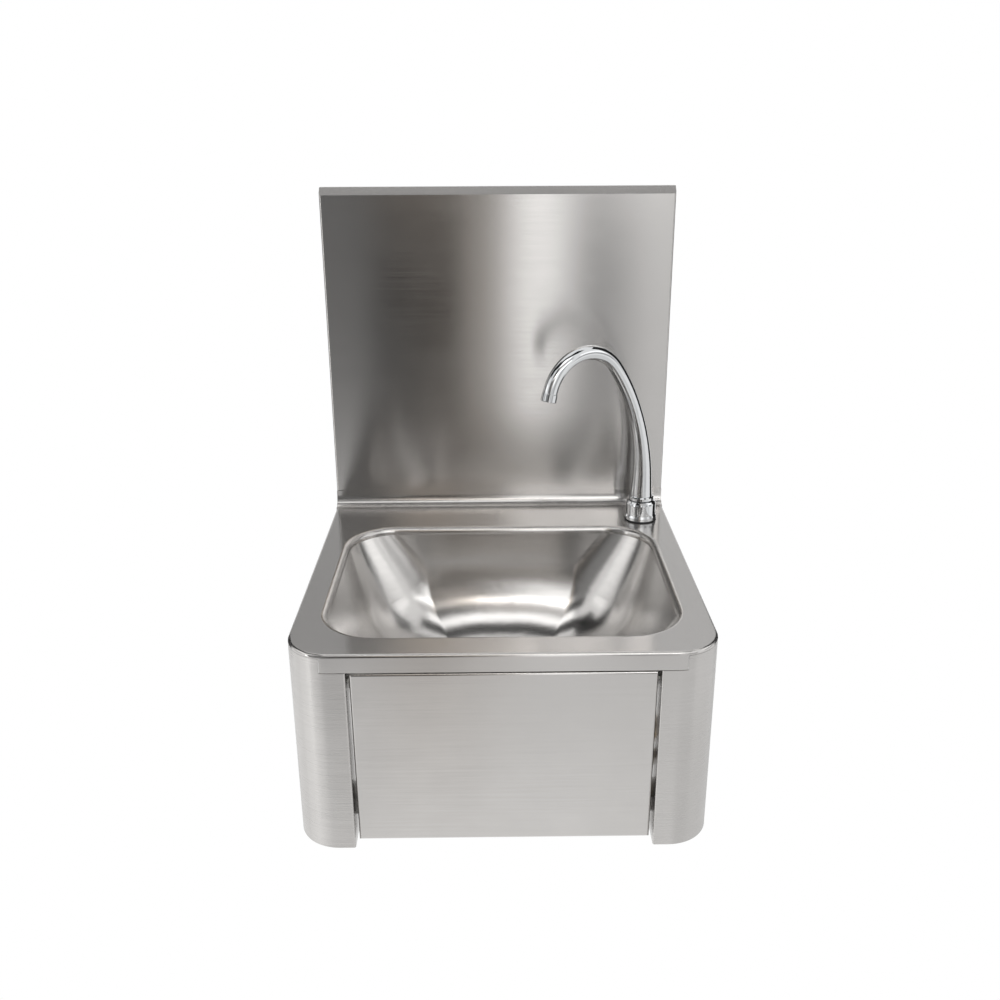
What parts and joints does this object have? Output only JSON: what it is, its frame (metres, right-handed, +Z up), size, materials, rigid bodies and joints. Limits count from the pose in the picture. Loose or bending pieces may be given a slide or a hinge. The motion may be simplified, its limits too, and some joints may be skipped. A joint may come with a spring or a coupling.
{
  "type": "hand wash sink",
  "caption": "Wall hung stainless hand wash basin with tall splashback, pressed bowl, swan neck swivel spout and a hinged knee panel that presses a self closing valve.",
  "frame": {"origin": "midpoint of the two upper wall holes, on the wall plane", "axes": "+X to the right seen from the front, +Y into the wall, +Z up"},
  "size_m": [0.4, 0.4, 0.585],
  "materials": {
    "sheet_steel": "brushed satin sheet",
    "bowl_steel": "satin pressed sheet",
    "rail_steel": "plain mill finish sheet",
    "fixing_steel": "bright zinc plated",
    "chrome": "polished",
    "tube_steel": "drawn tube",
    "brass": "machined",
    "rubber": "moulded",
    "white_nylon": "moulded",
    "black_plastic": "moulded"
  },
  "bodies": {
    "basin": {"top_deck": "sheet_steel", "wash_bowl": "bowl_steel", "splashback": "sheet_steel", "side_panel_left": "sheet_steel", "side_panel_right": "sheet_steel", "wall_rail": "rail_steel", "hook_rail": "rail_steel", "lower_rail": "rail_steel", "cross_rail": "rail_steel", "hinge_rod": "fixing_steel", "hinge_nuts": "fixing_steel", "valve_bracket": "rail_steel", "bracket_screws": "fixing_steel", "valve_body": "brass", "valve_locknut": "brass", "union_nut": "brass", "mixer_body": "brass", "inlet_cold": "brass", "inlet_hot": "brass", "non_return_valves": "white_nylon", "feed_tube": "tube_steel", "feed_nut_valve": "brass", "feed_nut_spout": "brass", "tap_shank": "brass", "tap_base": "chrome", "tap_gasket": "rubber", "tap_washer": "fixing_steel", "tap_backnut": "brass", "waste_strainer": "chrome", "waste_screw": "fixing_steel", "waste_seal_upper": "rubber", "waste_seal_lower": "rubber", "waste_body": "black_plastic"},
    "knee_flap": {"knee_panel": "sheet_steel", "backing_channel": "rail_steel", "push_pad": "rubber", "stop_pads": "rubber", "hinge_bush_left": "white_nylon", "hinge_bush_right": "white_nylon"},
    "plunger": {"valve_plunger": "fixing_steel", "plunger_cap": "white_nylon"},
    "spout": {"spout_collar": "chrome", "swivel_seals": "rubber", "spout_pipe": "chrome", "aerator_housing": "chrome", "aerator_insert": "white_nylon"},
    "temperature_knob": {"mixer_spindle": "brass", "mixer_knob": "black_plastic"}
  },
  "joints": [
    {"name": "knee_hinge", "type": "hinge", "parent": "basin", "child": "knee_flap", "pos_m": [0, -0.384, 0.026], "axis": [1, 0, 0], "range_deg": [0, 5], "stiffness_Nm_per_rad": 12.4, "springref_deg": -3.98},
    {"name": "plunger_slide", "type": "slide", "parent": "basin", "child": "plunger", "axis": [0, 1, 0], "range_m": [0, 0.013]},
    {"name": "spout_swivel", "type": "hinge", "parent": "basin", "child": "spout", "pos_m": [0.167, -0.071, 0.0845], "axis": [0, 0, 1], "range_deg": [-45, 160]},
    {"name": "knob_turn", "type": "hinge", "parent": "basin", "child": "temperature_knob", "pos_m": [0.095, -0.2462, -0.134], "axis": [0, 0, 1], "range_deg": [-90, 90]}
  ],
  "couplings": [
    {"joint": "plunger_slide", "follows": "knee_hinge", "m_per_rad": 0.147}
  ]
}
